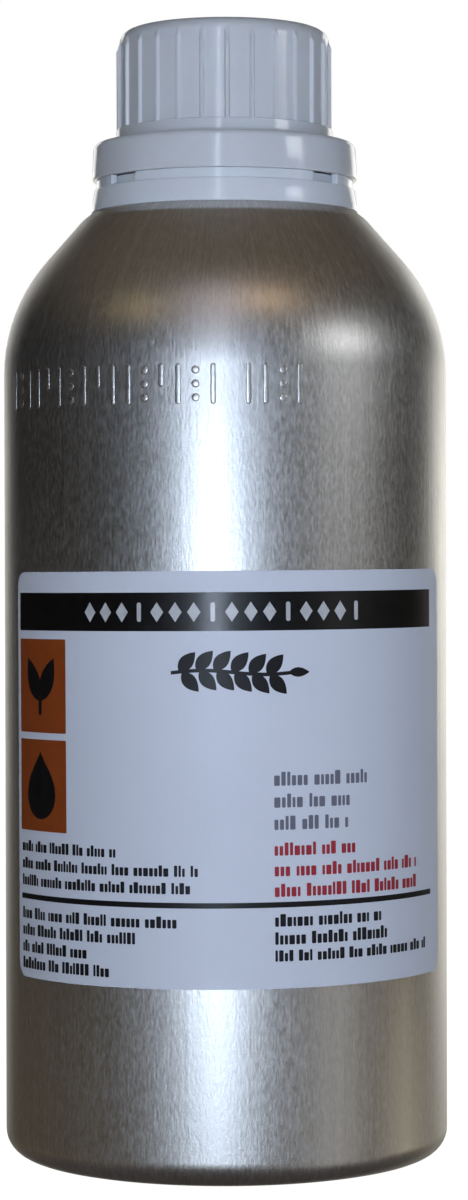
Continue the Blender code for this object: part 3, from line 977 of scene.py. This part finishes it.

# %% [markdown]
# ## Moulded plastic
#
# Cap and ring are white polypropylene. The mould leaves a faint orange peel, and the plastic lets a
# little light in, which a small subsurface weight gives. Dust and skin grease leave soft clouds, which
# darken the colour a touch and change the gloss.

# %% Cap and ring plastic
def moulded_plastic(name, light, shade, roughness):
    glow = {"Subsurface_Weight": 0.08, "Subsurface_Scale": 1.5 * MM}
    material, tree, shader = new_material(name, roughness, **glow)
    link = tree.links.new
    cloudy = place(tree, clouds, **{"Cell mm": 9.0, "Contrast": 1.5})
    peel = place(tree, clouds, **{"Cell mm": 0.9, "Contrast": 1.0})
    dust = place(tree, specks, **{"Cell mm": 2.6, "Size": 0.08})
    tone = combined(tree, "ADD", scaled(tree, cloudy, 0.0, 0.6), scaled(tree, dust, 0.0, 0.5))
    link(mixed(tree, tone, light, shade), shader.inputs["Base Color"])
    handled = scaled(tree, cloudy, roughness - 0.04, roughness + 0.08)
    rough = combined(tree, "ADD", handled, scaled(tree, dust, 0.0, 0.2))
    link(rough, shader.inputs["Roughness"])
    bump(tree, shader, peel, 0.005)
    return material


# Cap and ring are one plastic. The ring's copy is painted lighter and bluer: painted light that brightens the
# ring against the cap.
cap_plastic = moulded_plastic("cap plastic", (0.77, 0.79, 0.80), (0.67, 0.68, 0.68), 0.11)
ring_plastic_painted_lighter = moulded_plastic("ring plastic", (0.84, 0.87, 0.90), (0.74, 0.76, 0.77), 0.14)
print("made:", cap_plastic.name, "and", ring_plastic_painted_lighter.name)

# %% [markdown]
# ## Foam
#
# The sealing disc is closed-cell foam. Its cells show as small round dimples, so a Voronoi pattern gives
# the height, and the clouds give uneven wear where the lip presses.

# %% Foam of the sealing disc
CLEAN_FOAM = (0.84, 0.84, 0.82)
WORN_FOAM = (0.74, 0.73, 0.70)


def cell_foam():
    material, tree, shader = new_material("disc foam", 0.7)
    spot = node(tree, "ShaderNodeTexCoord")
    cells = node(tree, "ShaderNodeTexVoronoi", {"Scale": 1800.0})
    tree.links.new(spot.outputs["Object"], cells.inputs["Vector"])
    worn = place(tree, clouds, **{"Cell mm": 6.0, "Contrast": 1.5})
    tree.links.new(mixed(tree, worn, CLEAN_FOAM, WORN_FOAM), shader.inputs["Base Color"])
    tree.links.new(scaled(tree, worn, 0.6, 0.8), shader.inputs["Roughness"])
    bump(tree, shader, cells.outputs["Distance"], 0.05)
    return material


foam = cell_foam()
print("made:", foam.name)

# %% [markdown]
# ## Paper and inks
#
# The paper has a very thin coat over soft fibres, and most inks on it are nearly matt: an ink fills the
# fibres, and its colour varies where less of it was laid down. The band and its marks are laid on thick
# and varnished, so they alone show the lights. One function makes every ink, with its own colour and gloss.

# %% Label paper and inks
BRIGHT_PAPER = (0.76, 0.79, 0.85)
SHADED_PAPER = (0.70, 0.735, 0.80)
MATT, VARNISHED = (0.05, 0.5), (0.35, 0.4)


def coated_paper():
    material, tree, shader = new_material("label paper", 0.6, Coat_Weight=0.06, Coat_Roughness=0.3)
    link = tree.links.new
    fibre = place(tree, clouds, **{"Cell mm": 0.5, "Contrast": 1.4})
    uneven = place(tree, clouds, **{"Cell mm": 14.0, "Contrast": 1.3})
    tone = combined(tree, "ADD", scaled(tree, fibre, 0.0, 0.35), scaled(tree, uneven, 0.0, 0.5))
    link(mixed(tree, tone, BRIGHT_PAPER, SHADED_PAPER), shader.inputs["Base Color"])
    link(scaled(tree, uneven, 0.52, 0.68), shader.inputs["Roughness"])
    bump(tree, shader, fibre, 0.01)
    return material


def ink(name, full, thin, finish=MATT):
    """An ink that goes from its full to its thin colour; a finish is a coat weight and a roughness."""
    gloss, rough = finish
    constants = {"Coat_Weight": gloss, "Coat_Roughness": 0.22, "Specular_IOR_Level": 0.35}
    material, tree, shader = new_material(name, rough, **constants)
    link = tree.links.new
    laid = place(tree, clouds, **{"Cell mm": 1.6, "Contrast": 1.8})
    fibre = place(tree, clouds, **{"Cell mm": 0.5, "Contrast": 1.4})
    link(mixed(tree, laid, full, thin), shader.inputs["Base Color"])
    link(scaled(tree, laid, rough - 0.06, rough + 0.06), shader.inputs["Roughness"])
    bump(tree, shader, fibre, 0.006)
    return material


paper = coated_paper()
black_ink = ink("black ink", (0.003, 0.003, 0.004), (0.008, 0.008, 0.010))
glossy_ink = ink("glossy black ink", (0.002, 0.002, 0.002), (0.006, 0.006, 0.007), (0.38, 0.4))
orange_ink = ink("orange ink", (0.29, 0.052, 0.004), (0.33, 0.066, 0.008))
red_ink = ink("red ink", (0.38, 0.018, 0.03), (0.44, 0.03, 0.04))
grey_ink = ink("grey ink", (0.15, 0.155, 0.2), (0.18, 0.185, 0.225))
band_ink = ink("band mark ink", (0.62, 0.63, 0.62), (0.5, 0.51, 0.51), VARNISHED)
inks = (black_ink, glossy_ink, orange_ink, red_ink, grey_ink, band_ink)
print("inks:", ", ".join(one.name for one in inks))

# %% [markdown]
# ## Fitting the pieces to the model
#
# Each visible piece rides on the body that carries it and takes a material. The pieces that replace a
# imported solid hide it, and the sealing disc keeps its own solid with a better finish.

# %% Riders and finishes
def dress(piece, body, material):
    piece.data.materials.clear()
    piece.data.materials.append(material)
    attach(piece, body)


for piece in (bottle_shell, neck_thread, struck_row):
    dress(piece, "bottle", aluminium)
for piece in (ring_body, ring_web, ring_flange, ring_bridges):
    dress(piece, "bottle", ring_plastic_painted_lighter)
for piece in (cap_body, cap_thread):
    dress(piece, "cap", cap_plastic)
dress(label_sheet, "bottle", paper)
printed = [
    (band, glossy_ink), (rule, black_ink), (squares, orange_ink), (band_marks, band_ink),
    (square_motifs, black_ink), (heading, black_ink), (small_print["black"], black_ink),
    (small_print["red"], red_ink), (small_print["grey"], grey_ink),
]
for piece, colour in printed:
    dress(piece, "bottle", colour)

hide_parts("bottle")
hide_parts("cap")
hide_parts("tamper_ring")
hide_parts("label")
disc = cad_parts["sealing_disc"]
disc.data.materials.clear()
disc.data.materials.append(foam)
print("the disc keeps its solid:", disc.name)

# %% [markdown]
# ## Floor, backdrop and light
#
# On a metal bottle the lights are the look: each one shows as a band, and the dark room makes the dark
# parts. The room is the world's colour, which depends on the direction. It is dim and warm all round,
# with a wall behind that is bright only in a strip level with the bottle, and the camera itself sees plain
# white. The floor throws no shadow, so that lamps set lower than the table still reach the bottle.
#
# The lamps are of two kinds. Most are only seen in the metal and the gloss: a tall key in front, made of
# four boxes one above the other with a faint blue halo, a panel, a lamp and a glint on the right, two warm
# lamps under the ceiling, a glow from the table, and two rim lamps behind. The others only light what is
# white: a fill near the label, one above it and two behind.

# %% Floor
FLOOR_HALF = 4.0
FLOOR_GLOW = 1.2
FLOOR_SHARE = 0.86


def floor_material():
    """To the camera the floor is mostly a plain white glow, with a little of its own shading."""
    material, tree, shader = new_material("floor", 0.9)
    link = tree.links.new
    shader.inputs["Base Color"].default_value = (0.9, 0.9, 0.9, 1.0)
    uneven = place(tree, clouds, **{"Cell mm": 40.0, "Contrast": 1.0})
    link(scaled(tree, uneven, 0.8, 0.95), shader.inputs["Roughness"])
    white = node(tree, "ShaderNodeEmission", {"Strength": FLOOR_GLOW})
    path = node(tree, "ShaderNodeLightPath")
    mostly = combined(tree, "MULTIPLY", path.outputs["Is Camera Ray"], FLOOR_SHARE)
    mix = node(tree, "ShaderNodeMixShader")
    output = tree.nodes["Material Output"]
    link(mostly, mix.inputs[0])
    link(shader.outputs[0], mix.inputs[1])
    link(white.outputs[0], mix.inputs[2])
    link(mix.outputs[0], output.inputs["Surface"])
    return material


corners = [(x * FLOOR_HALF, y * FLOOR_HALF, 0.0) for x, y in ((-1, -1), (1, -1), (1, 1), (-1, 1))]
floor_mesh = bpy.data.meshes.new("floor")
floor_mesh.from_pydata(corners, [], [(0, 1, 2, 3)])
floor = add_piece("floor", floor_mesh)
floor.data.materials.append(floor_material())
floor.visible_glossy = False
floor.visible_shadow = False

# %% Room light
ROOM_DARK = (0.006, 0.0052, 0.0045)
ROOM_CEILING = (0.095, 0.077, 0.056)
TABLE_FAR = (0.085, 0.066, 0.042)
TABLE_NEAR = (0.045, 0.038, 0.036)
WALL_BRIGHT = (1.95, 1.90, 1.78)
WALL_FOOT = (0.42, 0.40, 0.335)
WALL_HIGH = (0.2, 0.195, 0.18)
ROOM_DIFFUSE = (0.022, 0.019, 0.014)
CAMERA_WHITE = (1.0, 1.0, 1.0)
WALL_LEAN = 0.16


def ramp(tree, value, start, end, kind="LINEAR"):
    """A share that goes from 0 at start to 1 at end."""
    span = {"From Min": start, "From Max": end}
    made = node(tree, "ShaderNodeMapRange", span, interpolation_type=kind)
    tree.links.new(value, made.inputs["Value"])
    return made.outputs[0]


def room():
    world = bpy.data.worlds.new("room")
    world.use_nodes = True
    bpy.context.scene.world = world
    tree = world.node_tree
    tree.nodes.clear()
    spot = node(tree, "ShaderNodeTexCoord")
    parts = node(tree, "ShaderNodeSeparateXYZ")
    tree.links.new(spot.outputs["Generated"], parts.inputs[0])
    up = parts.outputs["Z"]
    sideways = combined(tree, "MULTIPLY", parts.outputs["X"], WALL_LEAN)
    backwards = combined(tree, "ADD", parts.outputs["Y"], sideways)
    below = ramp(tree, up, -0.02, -0.2)
    dim = mixed(tree, ramp(tree, up, 0.35, 0.9), ROOM_DARK, ROOM_CEILING)
    table = mixed(tree, ramp(tree, up, -0.35, -0.65), TABLE_FAR, TABLE_NEAR)
    around = mixed(tree, below, dim, table)
    wall = mixed(tree, below, WALL_BRIGHT, WALL_FOOT)
    back = mixed(tree, ramp(tree, up, 0.06, 0.13), wall, WALL_HIGH)
    lit = mixed(tree, ramp(tree, backwards, 0.80, 0.86, "SMOOTHSTEP"), around, back)
    path = node(tree, "ShaderNodeLightPath")
    soft = mixed(tree, path.outputs["Is Diffuse Ray"], lit, ROOM_DIFFUSE)
    seen = mixed(tree, path.outputs["Is Camera Ray"], soft, CAMERA_WHITE)
    background = node(tree, "ShaderNodeBackground")
    output = node(tree, "ShaderNodeOutputWorld")
    tree.links.new(seen, background.inputs["Color"])
    tree.links.new(background.outputs[0], output.inputs["Surface"])


room()

# %% Soft boxes
AIM_Z = 0.1


def soft_box(name, azimuth, distance, height, width, tall, power, colour):
    """A rectangular light, its azimuth in degrees from the front to the right, its lengths in metres."""
    light = bpy.data.lights.new(name, "AREA")
    light.shape = "RECTANGLE"
    light.size = width
    light.size_y = tall
    light.energy = power
    light.color = colour
    lamp = bpy.data.objects.new(name, light)
    bpy.context.scene.collection.objects.link(lamp)
    turn = FRONT + math.radians(azimuth)
    lamp.location = (distance * math.cos(turn), distance * math.sin(turn), height)
    lamp.rotation_euler = (Vector((0.0, 0.0, AIM_Z)) - lamp.location).to_track_quat("-Z", "Y").to_euler()
    return lamp


KEY_BLUE = (0.70, 0.82, 1.0)
PANEL_WHITE = (0.98, 0.98, 1.0)
LAMP_WHITE = (0.96, 0.98, 1.0)
RIM_WHITE = (1.0, 0.99, 0.94)
BACK_WHITE = (0.90, 0.94, 1.0)

# Each lamp is its name, azimuth, distance, height, width, tallness, power and colour.
reflected = [
    ("key", -5.5, 1.0, 0.02, 0.16, 0.26, 2.7, KEY_BLUE),
    ("key upper", -6.0, 1.0, 0.38, 0.05, 0.4, 0.45, (0.78, 0.87, 1.0)),
    ("key top", -4.5, 0.95, 0.85, 0.08, 0.7, 0.62, (0.92, 0.88, 1.0)),
    ("key foot", -5.0, 1.0, -0.26, 0.11, 0.26, 0.4, (0.70, 0.83, 1.0)),
    ("key halo", 0.0, 1.0, 0.2, 0.45, 0.6, 0.22, (0.36, 0.56, 1.0)),
    ("side panel", 57.0, 1.3, -0.36, 0.42, 1.0, 0.7, PANEL_WHITE),
    ("side lamp", 64.0, 1.2, 0.48, 0.34, 0.22, 1.35, LAMP_WHITE),
    ("side glint", 68.5, 1.2, 0.33, 0.035, 0.16, 0.075, LAMP_WHITE),
    ("ceiling lamp right", 27.0, 0.9, 1.0, 0.16, 0.16, 0.42, (1.0, 0.68, 0.38)),
    ("ceiling lamp left", -49.0, 0.9, 0.8, 0.12, 0.12, 0.17, (1.0, 0.74, 0.36)),
    ("table glow", 104.0, 1.0, -0.24, 0.16, 0.16, 0.17, (1.0, 0.92, 0.72)),
    ("rim right", 156.0, 1.0, 0.37, 0.34, 0.28, 0.58, RIM_WHITE),
    ("rim left", -159.0, 1.0, 0.37, 0.3, 0.28, 0.4, RIM_WHITE),
]
filling = [
    ("fill", 4.0, 0.56, 0.12, 0.2, 0.2, 1.42, (0.66, 0.75, 0.94)),
    ("top fill", 2.0, 0.9, 1.2, 0.5, 0.5, 3.0, (0.70, 0.76, 0.90)),
    ("back fill 0", 148.0, 2.0, 0.7, 0.9, 0.9, 10.0, BACK_WHITE),
    ("back fill 1", -148.0, 2.0, 0.7, 0.9, 0.9, 10.0, BACK_WHITE),
]
for lamp in reflected:
    soft_box(*lamp).visible_diffuse = False
for lamp in filling:
    soft_box(*lamp).visible_glossy = False

scene = bpy.context.scene
scene.view_settings.view_transform = "Standard"
